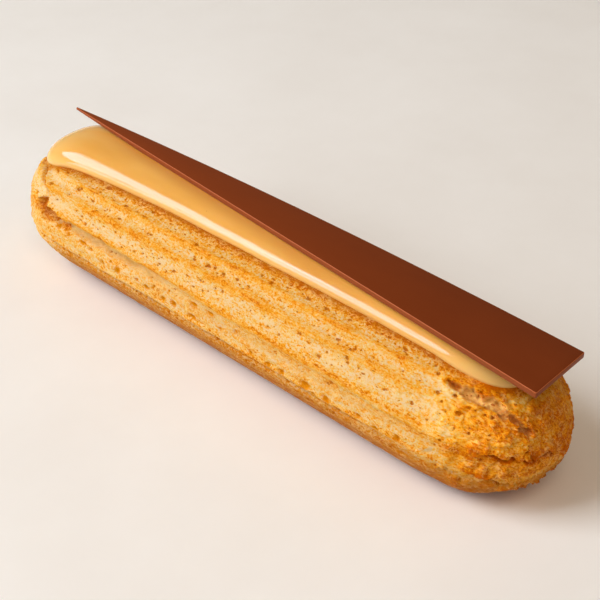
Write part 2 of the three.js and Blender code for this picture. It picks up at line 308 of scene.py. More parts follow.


# Openings where the crust broke away: outline that starts along the lip above, count of points on that lip,
# depth, ragged edges, share of pale crumb on the floor, of browner painted shade in the hollow
OPENINGS = [
    ([(53.7, -10.4, 26.4), (54.6, -10.1, 26.4), (55.4, -9.5, 26.6), (56.2, -9.8, 26.2), (56.5, -10.6, 25.6),
      (55.9, -10.9, 25.5), (54.7, -10.6, 26)], 4, 1.9, 0.25, 0.4, 0.3),
    ([(55.7, -9.5, 26.5), (57.2, -9.4, 26.3), (58.6, -9.1, 26), (59.7, -9.1, 25.6), (60.5, -8.9, 25.5),
      (61.7, -8.1, 25.4), (62.5, -7.5, 25.3), (63.3, -7.2, 25.1), (64.1, -7.3, 24.6), (64.6, -7.7, 24.1),
      (63.5, -9.1, 23.8), (62.3, -9.6, 24.1), (61.1, -10.1, 24.4), (59.6, -10.4, 24.7), (58.4, -10.7, 24.9),
      (57.1, -10.5, 25.5)], 10, 1.9, 0.6, 1.0, 0.0),
    ([(64.3, -8.1, 24.1), (65.4, -7.3, 23.8), (65.8, -7.8, 23.2), (66, -8.5, 22.4), (65.6, -9, 22.4),
      (64.8, -9.1, 23), (63.8, -8.9, 23.8)], 2, 1.3, 0.5, 0.6, 0.15),
    ([(65.7, -7.2, 23.6), (66.3, -6.9, 23.4), (67, -6.9, 22.8), (67.5, -6.5, 22.5), (68.1, -6.2, 22.1),
      (68.2, -6.6, 21.8), (67.6, -7.3, 21.9), (66.9, -8, 22.1), (66.2, -8, 22.7)], 5, 1.3, 0.5, 0.5, 0.15),
    ([(68.3, -6.5, 21.7), (69.2, -6, 21), (69.7, -5.9, 20.3), (69.8, -6.4, 19.7), (69.2, -7.1, 20.1),
      (68.3, -7.7, 20.7), (67.9, -7.4, 21.5)], 3, 1.2, 0.5, 0.5, 0.15),
    ([(-59.8, -14.9, 19.9), (-57.4, -14.8, 21.2), (-56.4, -14.9, 21.4), (-56.1, -15.4, 20.2),
      (-56.8, -15.6, 19.3), (-58.4, -15.6, 17.6), (-59.8, -15.2, 17.8)], 3, 1.5, 0.2, 0.0, 0.25),
    ([(-58.4, -15.6, 18.3), (-56.4, -15.6, 19.5), (-54.4, -15.7, 19.8), (-52.4, -15.8, 19.7),
      (-52, -16.1, 18), (-53.4, -16.2, 16.5), (-55.7, -16.2, 15.8), (-58.1, -15.9, 15.4)],
     5, 1.6, 0.2, 0.0, 0.4),
    ([(-51.7, -16.1, 18.8), (-50.6, -16, 19), (-48.9, -16.2, 18.2), (-48, -16.4, 16.6), (-49.4, -16.4, 16),
      (-51.2, -16.3, 16.6)], 3, 0.5, 0.15, 0.0, 0.25),
]
OPENING_WALL = 0.4  # millimetres
OPENING_MARGIN = 0.25
OPENING_FAR_DEPTH = 0.5  # share of the depth that is left away from the lip
OPENING_SEED = 70


def opening(outline, lip_count, depth, ragged, seed):
    """Depth of an opening at each place of the skin, and how close each place is to its overhanging lip."""
    outline = np.array(outline, float)
    centre = outline.mean(0)
    axes = np.linalg.svd(outline - centre)[2][:2].T
    reach = np.linalg.norm(outline - centre, axis=1).max() + 2
    near = np.nonzero(np.linalg.norm(skin - centre, axis=1) < reach)[0]
    spots = (skin[near] - centre) @ axes
    starts = (outline - centre) @ axes
    sides = np.roll(starts, -1, axis=0) - starts
    offset = spots[:, None] - starts[None]
    share = np.clip((offset * sides).sum(2) / (sides**2).sum(1), 0, 1)
    gaps = np.linalg.norm(offset - share[..., None] * sides, axis=2)
    across = offset[..., 0] - sides[:, 0] * offset[..., 1] / np.where(sides[:, 1] == 0, 1e-9, sides[:, 1])
    level_with = (offset[..., 1] > 0) != (offset[..., 1] > sides[:, 1])
    within = (level_with & (across < 0)).sum(1) % 2 == 1
    inside = np.where(within, 1, -1) * gaps.min(1)
    fray = 0.7 * grain(skin[near], (1, 1, 1), seed, 3) + 0.5 * grain(skin[near], (3, 3, 3), seed + 1)
    inside = inside + OPENING_MARGIN + ragged * fray
    from_lip = gaps[:, :lip_count - 1].min(1)
    depths = np.zeros(len(skin))
    edges = np.zeros(len(skin))
    sloping = lerp(1, OPENING_FAR_DEPTH, smoothstep(from_lip, 0.8, 2.4))
    depths[near] = depth * smoothstep(inside, 0, OPENING_WALL) * sloping
    edges[near] = bump_at(inside, -0.35, 0.4) * (1 - smoothstep(from_lip, 0.8, 1.6))
    return depths, edges


torn = np.zeros(len(skin))
torn_edge = np.zeros(len(skin))
open_crumb = np.zeros(len(skin))
cave_shade = np.zeros(len(skin))
cave_shade_brown = np.zeros(len(skin))
breaks = []
for number, sizes in enumerate(TEARS):
    breaks.append(tear(*sizes[:5], TEAR_SEED + 2 * number) + sizes[5:])
for number, sizes in enumerate(OPENINGS):
    breaks.append(opening(*sizes[:4], OPENING_SEED + 2 * number) + sizes[4:])
# Inside a break, where it is not pale crumb, the crust is painted deeper orange and browner: painted shade in
# the hollow
for depths, edges, paleness, shade_browning in breaks:
    share = smoothstep(depths, 0.25 * depths.max(), 0.6 * depths.max())
    torn = np.maximum(torn, depths)
    torn_edge = np.maximum(torn_edge, edges)
    open_crumb = np.maximum(open_crumb, paleness * share)
    cave_shade = np.maximum(cave_shade, (1 - paleness) * share)
    cave_shade_brown = np.maximum(cave_shade_brown, shade_browning * share)

TORN_EDGE_RISE = 0.3  # millimetres
TORN_EDGE_OVERHANG = 0.45
CRUMB_RELIEF = 0.3
CRUMB_HOLE_DEPTH = 0.5
crumbs = grain(skin, (1.1, 1.1, 1.1), 9, 3)
crumb_holes = open_crumb * smoothstep(grain(skin, (1.7, 1.3, 1.3), 15), 0.25, 0.45)
relief += TORN_EDGE_RISE * torn_edge - torn
relief += CRUMB_RELIEF * crumbs * open_crumb - CRUMB_HOLE_DEPTH * crumb_holes
overhang = -TORN_EDGE_OVERHANG * torn_edge

# Crackled crust of the ends, strongest at the right end: scales that overlap, with ragged rims
SCALE_SIZE = 3.4  # millimetres
SCALE_STEP = 0.8
SCALE_GROOVE = 0.2
FLAKE_SIZE = 1.3
FLAKE_STEP = 0.28
RIM_BEND = 0.5  # in sizes of a scale
RIM_RAGGED = 0.3
SCATTER = (12.9, 78.2, 37.7)  # turns a scale's centre into a number that looks drawn at random
SCATTER_GAIN = 437.6
CRAG_HEIGHT = (0.1, 0.28)  # millimetres on the sides and on the ends
LEFT_SCALES = 0.45  # how scaly the left end is beside the right one
scaly = np.clip(smoothstep(x, 49, 61) + LEFT_SCALES * smoothstep(-x, 57, 67), 0, 1) * bare
scaly = scaly * smoothstep(latitude, -42, -26)


def scales(size, seed):
    """For each place, how close it is to a rim between two scales, and a number from 0 to 1 for its scale."""
    rim = np.zeros(len(skin))
    which = np.zeros(len(skin))
    where = np.nonzero(scaly > 0.01)[0]
    bent = np.stack([
        RIM_BEND * grain(skin[where], (1.1 * size,) * 3, seed + axis)
        + RIM_RAGGED * grain(skin[where], (0.35 * size,) * 3, seed + axis + 3)
        for axis in range(3)
    ], axis=1)
    spots = skin[where] / (size * np.array([1.2, 1, 1])) + bent
    for index, spot in zip(where, spots.tolist()):
        gaps, centres = noise.voronoi(spot)
        rim[index] = gaps[1] - gaps[0]
        which[index] = (math.sin(centres[0].dot(SCATTER)) * SCATTER_GAIN) % 1
    return rim, which


scale_gap, scale_pick = scales(SCALE_SIZE, 50)
flake_gap, flake_pick = scales(FLAKE_SIZE, 60)
scale_edge = 1 - smoothstep(scale_gap, 0.0, 0.16)
flake_edge = 1 - smoothstep(flake_gap, 0.0, 0.16)
relief += scaly * SCALE_STEP * (scale_pick - 0.5) * smoothstep(scale_gap, 0, 0.12)
relief += scaly * FLAKE_STEP * (flake_pick - 0.5) * smoothstep(flake_gap, 0, 0.12)
relief -= scaly * SCALE_GROOVE * scale_edge
crags = grain(skin, (3.2, 2.4, 2.4), 8, 5)
relief += crags * lerp(*CRAG_HEIGHT, np.clip(0.5 * end_share + scaly, 0, 1))

# Pores: count on each side, latitudes, sizes and depth in millimetres
PORES = [
    (70, (50.5, 58.5), (0.16, 0.44), 0.35),
    (60, (39.5, 44), (0.16, 0.44), 0.35),
    (75, (22, 32.5), (0.16, 0.42), 0.35),
    (30, (3, 12), (0.16, 0.36), 0.3),
    (45, (-21, -12), (0.2, 0.44), 0.3),
    (20, (15, 60), (0.25, 0.6), 0.5),
]
PORE_RANGE = (-66, 64)
PORE_STRETCH = (0.9, 1.7)
PORE_RAGGED = 0.4
PORE_STEEPNESS = 0.7
PORE_REACH = 2.2  # sizes of a hollow within which the crust is coloured by it
PORE_SEED = 11
# Flat golden pits where bubbles broke on the lower bulge of the front: x, latitude, length, height
PITS = [
    (-51.6, 9, 1.7, 1.1), (-48.2, 7.2, 1.6, 1.2), (-43.2, 6.6, 2.8, 1.1), (-40.4, 5, 1.2, 1),
    (-36.4, -0.4, 1.5, 1.2), (-33.6, 4.6, 0.9, 0.8), (-31.2, 0.2, 2, 1.7), (-29, 7.6, 0.9, 0.6),
    (-25.2, 1.8, 1.2, 0.8), (-22, -0.5, 2, 1.3), (-19.8, 2.8, 1, 0.9), (-16.8, -2, 1.5, 1.3),
    (-15.2, 7, 0.6, 0.6), (-13.4, -1.2, 1.9, 1.8), (-7.6, -2, 2.4, 1.5), (-7.6, 7.6, 1.7, 1.1),
    (-2.8, 7.6, 2.4, 1), (0.6, 1, 1.1, 0.9), (4.8, 4.8, 1.2, 0.9), (9.4, -4.4, 1.3, 0.9),
    (14.4, -5.6, 1.7, 1.1), (18, -5.6, 1.7, 1.3), (24.4, -4.6, 2.5, 1.9), (26.6, -8.4, 2.1, 0.9),
    (30, -6, 2.1, 1.5), (33, -8.6, 2.4, 0.9), (38, -5, 1.5, 1), (42.4, -6.8, 1.8, 1.1), (47.6, -5, 1.7, 2),
]
PIT_DEPTH = 0.4
# Pits of the back: how many, and the limits of x, latitude, half length and half height
BACK_PITS = 30
BACK_PIT_LIMITS = [(-52, 48), (-6, 8), (0.5, 1.2), (0.4, 0.8)]
# Small holes beside the openings of the right end: x, latitude, length, height
HOLES = [
    (70.1, 18.6, 1.1, 0.9), (51.3, 52.5, 1, 0.9), (53.4, 53, 0.8, 0.8), (48.1, 59.5, 1.1, 0.6),
    (72.3, 4.4, 0.8, 0.9), (69.3, 22.7, 1, 0.8), (55.6, 45.2, 1.2, 0.6), (50, 56, 0.7, 0.5),
    (57.6, 51.4, 0.6, 0.5), (60.2, 24.6, 0.7, 0.6),
]
HOLE_DEPTH = 0.6
FRONT = -1  # sides of the bar along y
BACK = 1
draw = random.Random(PORE_SEED)
tree = kdtree.KDTree(len(skin))
for index, spot in enumerate(skin.tolist()):
    tree.insert(spot, index)
tree.balance()
ragged_edge = grain(skin, (0.8, 0.8, 0.8), 10)


def sink(at, level, side, length, height, depth, mark, sunk):
    """Sinks an oval hollow, given by its half sizes, into a side of the bar."""
    past = max(0, at - RIGHT_AXIS) / RIGHT_END - max(0, LEFT_AXIS - at) / LEFT_END
    ring = math.sqrt(1 - past * past)
    turn = math.radians(level)
    way = np.array([[past, side * math.cos(turn) * ring, math.sin(turn) * ring]])
    share = np.clip((at - LEFT_AXIS) / (RIGHT_AXIS - LEFT_AXIS), 0, 1)
    centre = bar_surface(np.array([share]), way)[0][0]
    for place, index, _ in tree.find_range(centre.tolist(), PORE_REACH * max(length, height)):
        gap = (np.array(place) - centre) / (length, height, height)
        far = math.sqrt((gap * gap).sum()) * (1 + PORE_RAGGED * ragged_edge[index])
        mark[index] = max(mark[index], 1 - 0.5 * far)
        sunk[index] = max(sunk[index], depth * max(0.0, 1 - far * far) ** PORE_STEEPNESS)


pore = np.zeros(len(skin))
pit = np.zeros(len(skin))
pore_depth = np.zeros(len(skin))
for count, latitudes, (small, large), depth in PORES:
    for side in (FRONT, BACK):
        for _ in range(count):
            size = small + (large - small) * draw.random() ** 2
            stretch = draw.uniform(*PORE_STRETCH)
            at = draw.uniform(*PORE_RANGE)
            sink(at, draw.uniform(*latitudes), side, size * stretch, size, depth, pore, pore_depth)
for at, level, length, height in PITS:
    sink(at, level, FRONT, length / 2, height / 2, PIT_DEPTH, pit, pore_depth)
for at, level, length, height in HOLES:
    sink(at, level, FRONT, length / 2, height / 2, HOLE_DEPTH, pore, pore_depth)
for _ in range(BACK_PITS):
    at, level, length, height = [draw.uniform(*limits) for limits in BACK_PIT_LIMITS]
    sink(at, level, BACK, length, height, PIT_DEPTH, pit, pore_depth)
relief -= pore_depth * (1 - smoothstep(torn, 0.2, 0.8))

# Fine streaks and grain of the crust, and the rim that tucks under to the tray
STREAK_RELIEF = 0.06  # millimetres
SPECK_RELIEF = 0.1
TUCK = 0.55
TUCK_CHANGES = [(-0.4, 60, 4), (0.8, 67.8, 2.2)]  # millimetres, at a place along the bar with its spread
TUCK_LESS_AT_TIP = 0.45
streaks = grain(skin, (6, 0.9, 0.9), 12, 2)
specks = grain(skin, (1, 0.8, 0.8), 13, 3)
relief += STREAK_RELIEF * streaks + SPECK_RELIEF * specks
tuck_depth = TUCK + sum(change * bump_at(x, at, spread) for change, at, spread in TUCK_CHANGES)
tuck_depth = tuck_depth - TUCK_LESS_AT_TIP * smoothstep(x, 69, 72)

relief = relief * bare * off_base - tuck_depth * window(-latitude, 18, 32, 44, 58)
places = skin + outward * relief[:, None] + uphill * (overhang * bare * off_base)[:, None]
places[:, 2] = np.maximum(0, places[:, 2])
lay(choux, places)
bpy.ops.object.shade_smooth()

# How far each place of the crust is coloured, from pale cream at 0 to deep orange at 1, and how much browner
# it is; both measures also carry painted shade below the icing's edge, in the breaks, holes, crease and seam,
# and at the foot and the shaded end.
# A band is an amount, a latitude and its spread; a patch is an amount, a place along the bar and its spread,
# a latitude and its spread.
TOAST = 0.54
TOAST_BANDS = [(-0.21, 27, 5), (-0.08, 42.5, 2.6), (-0.03, 55, 2.6)]
TOAST_PATCHES = [(-0.26, -58, 7, 45, 8), (-0.18, -58, 8, 27, 6), (-0.14, 57, 5, 46, 6),
                 (-0.16, 54.5, 4, 42, 8), (-0.16, 54.5, 4, 18, 6), (0.1, -3, 6, -2, 4), (0.1, 50, 6, 5, 4),
                 (0.3, -48, 6, -9, 3)]
RIGHT_END_BANDS = [(0.16, 5, 4), (-0.14, 17, 4), (-0.08, 42, 5)]
END_PATCHES = [(0.5, -60, 5, 15, 7), (0.22, 64, 5, 50, 11)]
BROWN_PATCHES = [(0.16, 44, 10, -13, 4)]
level = latitude + wander


def bands(rows):
    return sum(amount * bump_at(level, at, spread) for amount, at, spread in rows)


def patches(rows):
    return sum(amount * bump_at(x, along, length) * bump_at(level, at, spread)
               for amount, along, length, at, spread in rows)


def mixed(rows):
    """Adds up masks of a piece, each with the amount that it counts for."""
    return sum(amount * mask for amount, mask in rows)


cloudy = grain(skin, (7, 2, 2), 14, 3)
dashes = grain(skin, (3, 0.7, 0.7), 16, 2)
blotches = smoothstep(grain(skin, (6, 3.4, 3.4), 17, 2), 0.05, 0.4)
uneven = smoothstep(grain(skin, (4.2, 1.7, 1.7), 18, 2), -0.25, 0.3)
shaded_end = smoothstep(x, 60, 70) * smoothstep(y, -9, 0)
reach = icing_reach(x, y)
# Painted shade: the crust is made deeper orange just below the icing's edge, and in the top band of the left
# end, where the icing shades it
under_icing_shade = smoothstep(reach, 1.22, 1.04) * smoothstep(latitude, 30, 45)
icing_edge_shade = np.maximum(smoothstep(level, 55, 61) * smoothstep(x, -66, -54), under_icing_shade)
blotchy = (0.25 + 0.85 * uneven) * smoothstep(x, -70, -36)
lower_ridge = bump_at(level, 36, 3.6)
upper_ridge = bump_at(level, 49, 2.8)
lip_band = bump_at(below_lip, -2.2 - 0.06 * np.maximum(0, x + 20), 2.6) * seam_length
toast_and_shade = TOAST + bands(TOAST_BANDS) + patches(TOAST_PATCHES) + mixed([
    (0.08, cloudy),
    (0.11, streaks),
    (0.1, dashes),
    (0.5, icing_edge_shade),
    (0.06, smoothstep(level, 51, 54)),
    (0.3, upper_ridge * blotchy),
    (0.33, lower_ridge * (1 - 0.4 * smoothstep(x, 15, 30)) * blotchy),
    (-0.05, window(x, 15, 30, 40, 46) * bump_at(level, 37, 9)),
    (-0.06, (1 - smoothstep(x, -52, -38)) * bump_at(level, 40, 16)),
    (lerp(0.14, 0.26, smoothstep(x, 0, 20)), lip_band),
    (0.2, uneven * lip_band),
    (0.22, bump_at(below_lip, 2.5, 3) * smoothstep(x, 0, 15) * seam_length),
    (0.2, cloudy * bump_at(level, 0, 8)),
    (0.22, bump_at(level, -7, 2.4) * smoothstep(x, -20, 10)),
    (0.3, (1 - smoothstep(level, -18, -10)) * smoothstep(x, -60, -46)),
    (0.06, scaly),
    (0.56, scaly * (scale_pick - 0.5)),
    (0.16, scaly * (flake_pick - 0.5)),
    (-0.25, scaly * scale_edge),
    (-0.12, scaly * flake_edge),
])
toast_and_shade = np.maximum(toast_and_shade, TOAST * scaly)
toast_and_shade += patches(END_PATCHES) + smoothstep(x, 50, 58) * bands(RIGHT_END_BANDS) + mixed([
    (0.3, smoothstep(x, 56, 61) * window(level, -14, -6, 28, 38)),
    (0.18, smoothstep(x, 46, 56) * blotches),
    (0.2, torn_edge),
    (0.08, shaded_end),
    # Painted shade inside the breaks
    (0.7, cave_shade),
])

seam_crumb = seam_floor * seam_length * lerp(0.9, 0.12, smoothstep(x, -40, 10)) * (1 - cave_shade)
bulge_crumb = 0.3 * bump_at(level, 5, 4) * window(x, -30, -15, 44, 52)
crumb = np.clip(np.maximum(np.maximum(seam_crumb, bulge_crumb), open_crumb), 0, 1)

upper_side = smoothstep(latitude, 20, 40)
right_end = smoothstep(x, 54, 60)
# Browner crust, partly real browning and partly painted shade below the icing's edge, in breaks, holes,
# crease and seam, and at the foot
brown_and_shade = cave_shade_brown + patches(BROWN_PATCHES) + mixed([
    # Painted shade: browner in the holes of the crumb
    (0.4, crumb_holes),
    # Painted shade: browner in narrow bands just below the icing's edge, less so at the right end
    (0.34, smoothstep(reach, 1.25, 1.02) * upper_side * (1 - 0.8 * right_end)),
    (0.3, smoothstep(reach, 1.12, 1.04) * upper_side * (1 - 0.7 * right_end)),
    (0.1, smoothstep(level, 50, 55)),
    # Painted shade: browner along the crease above the base
    (0.36, crease_line),
    # Painted shade: browner on the seam's floor at the left, below the overhanging lip
    (0.22, seam_crumb * (1 - 0.6 * smoothstep(x, -34, -20))),
    (0.54, smoothstep(x, -60, -46) * (1 - smoothstep(level, -16, -10))),
    (0.3, 1 - smoothstep(level, -30, -18)),
    # The foot is browned by the tray and darkened further as painted shade where it meets the floor
    (0.6, 1 - smoothstep(z, 0.6, 2.6)),
    (0.1, shaded_end * (0.7 + crags)),
    (0.08, bump_at(level, 5, 5) * smoothstep(x, -30, 0)),
])
# Tray browning and painted shade at the foot, strongest towards the right end
tray_brown_and_shade = lerp(0.35, 0.75, smoothstep(x, 36, 56)) * (1 - smoothstep(z, 0.6, 2.4))
# Painted light: the lit front of the right end, whose colour is multiplied paler
painted_end_light = window(x, 49, 55, 65, 71) * smoothstep(latitude, 4, 14) * smoothstep(-y, 1, 6)
pore_band = 0.6 + 0.5 * bump_at(level, 55, 4) + 0.45 * bump_at(level, 42, 3) + 0.6 * bump_at(level, 27, 5)
smooth = upper_ridge + lower_ridge + bump_at(below_lip, -2.2, 2.4) * seam_length
lacy = np.clip(1 - 0.6 * smooth - 0.6 * scaly, 0.1, 1)


def store(piece, values_by_name):
    """Stores named values on the vertices of a piece, for its material to read."""
    for name, values in values_by_name.items():
        attribute = piece.data.attributes.new(name=name, type="FLOAT", domain="POINT")
        attribute.data.foreach_set("value", values.astype(np.float32))


finish = {"toast_and_shade": toast_and_shade, "crumb": crumb, "brown_and_shade": brown_and_shade, "pore": pore, "pore_band": pore_band, "pit": pit,
          "lacy": lacy, "scaly": scaly, "painted_end_light": painted_end_light, "tray_brown_and_shade": tray_brown_and_shade}
store(choux, finish)


def new_material(name):
    material = bpy.data.materials.new(name)
    material.use_nodes = True
    tree = material.node_tree
    return material, tree, tree.nodes["Principled BSDF"]


def add(tree, kind, values=None, **settings):
    """A node of a material, with its settings and the values of its sockets."""
    node = tree.nodes.new(kind)
    for key, value in settings.items():
        setattr(node, key, value)
    for socket, value in (values or {}).items():
        node.inputs[socket].default_value = value
    return node


def join(tree, *pairs):
    for source, target in pairs:
        tree.links.new(source, target)


def stops(node, colours):
    """Sets a ramp's colours from (position, colour) pairs."""
    elements = node.color_ramp.elements
    while len(elements) < len(colours):
        elements.new(0.5)
    for element, (position, colour) in zip(elements, colours):
        element.position = position
        element.color = colour


def maths(tree, operation, first, second=None, clamp=False):
    node = add(tree, "ShaderNodeMath", operation=operation, use_clamp=clamp)
    for socket, value in zip(node.inputs, (first, second)):
        if value is None:
            continue
        if isinstance(value, (int, float)):
            socket.default_value = value
        else:
            tree.links.new(value, socket)
    return node.outputs[0]


def stretched(tree, coordinates, scale):
    mapping = add(tree, "ShaderNodeMapping", {"Scale": scale})
    tree.links.new(coordinates, mapping.inputs["Vector"])
    return mapping.outputs["Vector"]


def blend(tree, share, first, second, kind="MIX"):
    node = add(tree, "ShaderNodeMix", data_type="RGBA", blend_type=kind)
    for socket, value in ((node.inputs[0], share), (node.inputs[6], first), (node.inputs[7], second)):
        if isinstance(value, (int, float, tuple)):
            socket.default_value = value
        else:
            tree.links.new(value, socket)
    return node.outputs[2]


def swing(tree, value, share):
    """How far a noise is from its middle, times a share."""
    return maths(tree, "MULTIPLY", maths(tree, "SUBTRACT", value, 0.5), share)


def attribute_of(tree, name):
    return add(tree, "ShaderNodeAttribute", attribute_name=name).outputs["Fac"]


def ranged(tree, value, low, high, start=0.0, end=1.0):
    limits = {"From Min": low, "From Max": high, "To Min": start, "To Max": end}
    node = add(tree, "ShaderNodeMapRange", limits)
    tree.links.new(value, node.inputs["Value"])
    return node.outputs[0]


def noisy(tree, coordinates, scale, detail, roughness):
    node = add(tree, "ShaderNodeTexNoise", {"Scale": 1.0, "Detail": detail, "Roughness": roughness})
    tree.links.new(stretched(tree, coordinates, scale), node.inputs["Vector"])
    return node


def bubbles(tree, coordinates, scale):
    node = add(tree, "ShaderNodeTexVoronoi", {"Scale": 1.0}, feature="F1")
    tree.links.new(stretched(tree, coordinates, scale), node.inputs["Vector"])
    return node


BROWN_AND_SHADE_CRUST = linear(164, 86, 12)
TRAY_BROWN_AND_SHADE = linear(146, 62, 3)
PALE_THREAD = linear(240, 200, 126)
END_LIGHT_TINT = (1.18, 1.18, 1.06, 1)
PIT_GOLD = linear(214, 132, 4)
PIT_CORE_SHADE = linear(170, 92, 2)
PORE_SHADE_BROWN = linear(176, 90, 2)
WARP = 0.4 * MM
CRUST_BUMP = 0.4 * MM

crust, nodes, surface = new_material("baked_choux")
place = add(nodes, "ShaderNodeTexCoord").outputs["Object"]
read = {name: attribute_of(nodes, name) for name in finish}

# The finest grain, lace of thin skin and pin holes
fine = noisy(nodes, place, (1700, 2300, 2300), 3.0, 0.7).outputs["Fac"]
hair = noisy(nodes, place, (240, 2700, 2700), 2.0, 0.6).outputs["Fac"]
mottle = noisy(nodes, place, (380, 640, 640), 4.0, 0.6).outputs["Fac"]
warp = noisy(nodes, place, (1300, 1300, 1300), 2.0, 0.6)
shifted = add(nodes, "ShaderNodeVectorMath", operation="MULTIPLY_ADD")
shifted.inputs[1].default_value = (WARP, WARP, WARP)
join(nodes, (warp.outputs["Color"], shifted.inputs[0]), (place, shifted.inputs[2]))
lace = 0.0
for scale, width in (((420, 620, 620), 0.055), ((800, 1150, 1150), 0.06)):
    thread = noisy(nodes, place, scale, 2.0, 0.55)
    thread.inputs["Distortion"].default_value = 0.5
    off_middle = maths(nodes, "ABSOLUTE", maths(nodes, "SUBTRACT", thread.outputs["Fac"], 0.5))
    lace = maths(nodes, "MAXIMUM", lace, ranged(nodes, off_middle, width, 0.0))
pin_hole = 0.0
pin_rim = 0.0
for scale in ((500, 1150, 1150), (850, 1400, 1400)):
    pin = bubbles(nodes, shifted.outputs[0], scale)
    pin_pick = add(nodes, "ShaderNodeSeparateColor")
    join(nodes, (pin.outputs["Color"], pin_pick.inputs["Color"]))
    often = maths(nodes, "SUBTRACT", maths(nodes, "MULTIPLY", read["pore_band"], 0.3), 1.06)
    pin_size = maths(nodes, "MAXIMUM", maths(nodes, "ADD", pin_pick.outputs["Red"], often), 0.0)
    pin_reach = maths(nodes, "MULTIPLY", maths(nodes, "POWER", pin_size, 0.5), 0.48)
    pin_gap = maths(nodes, "SUBTRACT", pin_reach, pin.outputs["Distance"])
    pin_hole = maths(nodes, "MAXIMUM", pin_hole, ranged(nodes, pin_gap, -0.05, 0.04))
    pin_rim = maths(nodes, "MAXIMUM", pin_rim, ranged(nodes, pin_gap, -0.25, -0.05))
ragged = swing(nodes, fine, 0.7)
ragged_pore = maths(nodes, "ADD", read["pore"], ragged)
ragged_pit = maths(nodes, "ADD", read["pit"], ragged)
holes = maths(nodes, "MAXIMUM", ranged(nodes, ragged_pore, 0.54, 0.66), pin_hole)
rims = maths(nodes, "MAXIMUM", pin_rim, ranged(nodes, ragged_pore, 0.15, 0.5))
pits = ranged(nodes, ragged_pit, 0.38, 0.66)
pit_core_shade = ranged(nodes, ragged_pit, 0.66, 0.9)

# How far each place is toasted or darkened by painted shade, and the crust's colour for it
fine_share = ranged(nodes, read["lacy"], 0.0, 1.0, 1.4, 2.7)
hair_share = ranged(nodes, read["lacy"], 0.0, 1.0, 1.4, 0.6)
lace_share = maths(nodes, "MULTIPLY", read["lacy"], 0.5)
browned_and_shaded = maths(nodes, "ADD", read["toast_and_shade"], swing(nodes, mottle, 0.5))
browned_and_shaded = maths(nodes, "ADD", browned_and_shaded, maths(nodes, "MULTIPLY", rims, 0.22))
browned_and_shaded = maths(nodes, "ADD", browned_and_shaded, swing(nodes, fine, fine_share))
browned_and_shaded = maths(nodes, "ADD", browned_and_shaded, swing(nodes, hair, hair_share))
browned_and_shaded = maths(nodes, "SUBTRACT", browned_and_shaded, maths(nodes, "MULTIPLY", lace, lace_share))
crust_colour = add(nodes, "ShaderNodeValToRGB")
stops(crust_colour, [
    (0.00, linear(227, 197, 150)),
    (0.16, linear(228, 187, 118)),
    (0.32, linear(230, 176, 84)),
    (0.48, linear(232, 163, 48)),
    (0.64, linear(228, 146, 20)),
    (0.80, linear(214, 121, 4)),
    (1.00, linear(194, 98, 1)),
])
join(nodes, (maths(nodes, "MULTIPLY", browned_and_shaded, 0.8), crust_colour.inputs["Fac"]))

# The crumb of the seam and openings, and what lies on the crust or in it
crumb_colour = add(nodes, "ShaderNodeValToRGB")
stops(crumb_colour, [(0.3, linear(200, 150, 80)), (0.5, linear(217, 172, 104)), (0.7, linear(230, 192, 130))])
join(nodes, (maths(nodes, "ADD", mottle, ragged), crumb_colour.inputs["Fac"]))
broken = ranged(nodes, mottle, 0.47, 0.6)
thready = maths(nodes, "MAXIMUM", read["scaly"], maths(nodes, "MULTIPLY", read["lacy"], 0.8))
threads = maths(nodes, "MULTIPLY", maths(nodes, "MULTIPLY", lace, broken), thready)
brown_and_shade_share = maths(nodes, "ADD", read["brown_and_shade"], maths(nodes, "MULTIPLY", ragged, read["brown_and_shade"]), True)
colour = blend(nodes, read["crumb"], crust_colour.outputs[0], crumb_colour.outputs[0])
# Browner crust colour, which is also painted shade wherever the mask marks shade
colour = blend(nodes, brown_and_shade_share, colour, BROWN_AND_SHADE_CRUST)
colour = blend(nodes, maths(nodes, "MULTIPLY", threads, 0.55), colour, PALE_THREAD)
# Tray browning and painted shade at the foot
colour = blend(nodes, read["tray_brown_and_shade"], colour, TRAY_BROWN_AND_SHADE)
# Painted light on the front of the right end
colour = blend(nodes, read["painted_end_light"], colour, END_LIGHT_TINT, "MULTIPLY")
colour = blend(nodes, pits, colour, PIT_GOLD)
# Painted shade: the cores of the pits are darker
colour = blend(nodes, maths(nodes, "MULTIPLY", pit_core_shade, 0.6), colour, PIT_CORE_SHADE)
# Painted shade: the pores and pin holes are coloured dark
colour = blend(nodes, maths(nodes, "MULTIPLY", holes, 0.85), colour, PORE_SHADE_BROWN)
join(nodes, (colour, surface.inputs["Base Color"]))

height = maths(nodes, "ADD", maths(nodes, "MULTIPLY", mottle, 0.5), maths(nodes, "MULTIPLY", fine, 0.35))
height = maths(nodes, "SUBTRACT", height, maths(nodes, "MULTIPLY", holes, 0.12))
height = maths(nodes, "ADD", height, maths(nodes, "MULTIPLY", lace, 0.2))
relief_bump = add(nodes, "ShaderNodeBump", {"Strength": 0.5, "Distance": CRUST_BUMP})
join(nodes, (height, relief_bump.inputs["Height"]), (relief_bump.outputs[0], surface.inputs["Normal"]))
join(nodes, (ranged(nodes, browned_and_shaded, 0.2, 0.9, 0.75, 0.5), surface.inputs["Roughness"]))
surface.inputs["Specular IOR Level"].default_value = 0.03
surface.inputs["Subsurface Weight"].default_value = 0.3
surface.inputs["Subsurface Radius"].default_value = (1.0, 0.4, 0.12)
surface.inputs["Subsurface Scale"].default_value = 0.8 * MM
choux.data.materials.append(crust)
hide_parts("choux")
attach(choux, "root")

